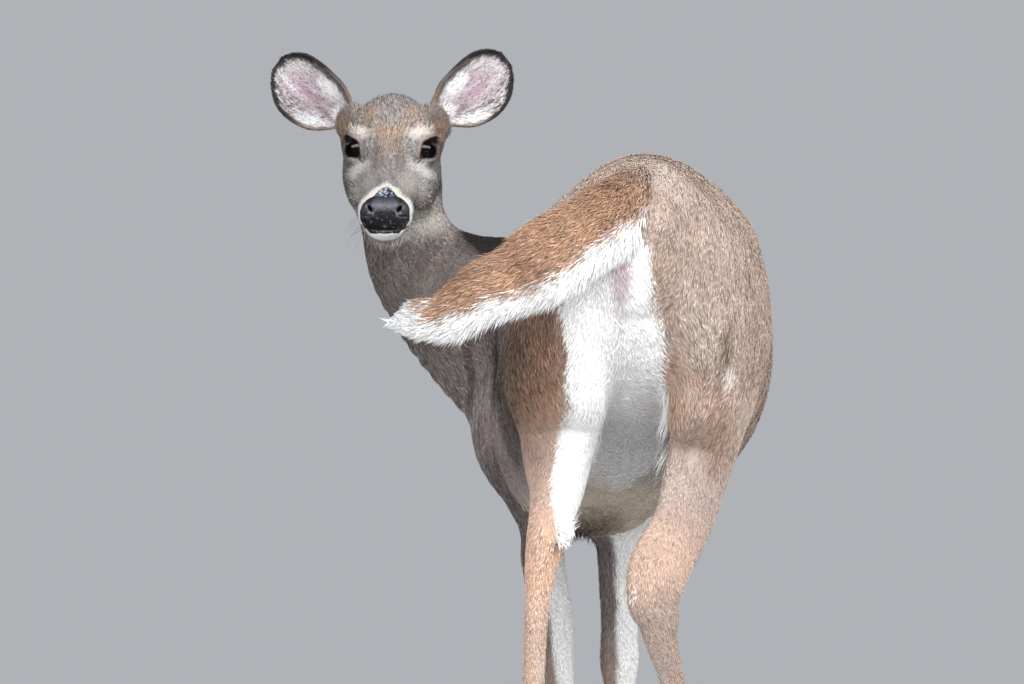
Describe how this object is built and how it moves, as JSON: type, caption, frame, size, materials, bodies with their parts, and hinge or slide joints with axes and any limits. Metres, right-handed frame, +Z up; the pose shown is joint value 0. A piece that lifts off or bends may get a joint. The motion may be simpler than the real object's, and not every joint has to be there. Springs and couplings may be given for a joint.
{
  "type": "white-tailed deer doe figure",
  "caption": "Life-size white-tailed deer doe standing with her head turned back over one side, ears spread and tail swung out to the same side.",
  "frame": {"origin": "on the floor below the middle of the figure's box", "axes": "+Z up, +Y from rump to chest, +X to her right side, so she looks back along -Y"},
  "size_m": [0.6024, 0.9004, 1.0242],
  "materials": {
    "coat": "short dense grey-brown hair, white under the body",
    "face": "very short ticked hair, pale round the eyes and nose",
    "tail": "long rufous hair, white fringe and tip",
    "ear": "white hair over pinkish skin inside, dark rim",
    "nose": "moist black skin",
    "eye": "wet, near black",
    "horn": "dark dull horn"
  },
  "bodies": {
    "root": {"ear_left": "ear", "ear_right": "ear", "eye_left": "eye", "eye_right": "eye", "fore_left_dewclaw_1": "horn", "fore_left_dewclaw_2": "horn", "fore_left_hoof_1": "horn", "fore_left_hoof_2": "horn", "fore_left_lower": "coat", "fore_left_upper": "coat", "fore_right_dewclaw_1": "horn", "fore_right_dewclaw_2": "horn", "fore_right_hoof_1": "horn", "fore_right_hoof_2": "horn", "fore_right_lower": "coat", "fore_right_upper": "coat", "head": "face", "hind_left_dewclaw_1": "horn", "hind_left_dewclaw_2": "horn", "hind_left_hoof_1": "horn", "hind_left_hoof_2": "horn", "hind_left_lower": "coat", "hind_left_upper": "coat", "hind_right_dewclaw_1": "horn", "hind_right_dewclaw_2": "horn", "hind_right_hoof_1": "horn", "hind_right_hoof_2": "horn", "hind_right_lower": "coat", "hind_right_upper": "coat", "neck": "coat", "nose": "nose", "tail": "tail", "trunk": "coat"}
  },
  "joints": []
}
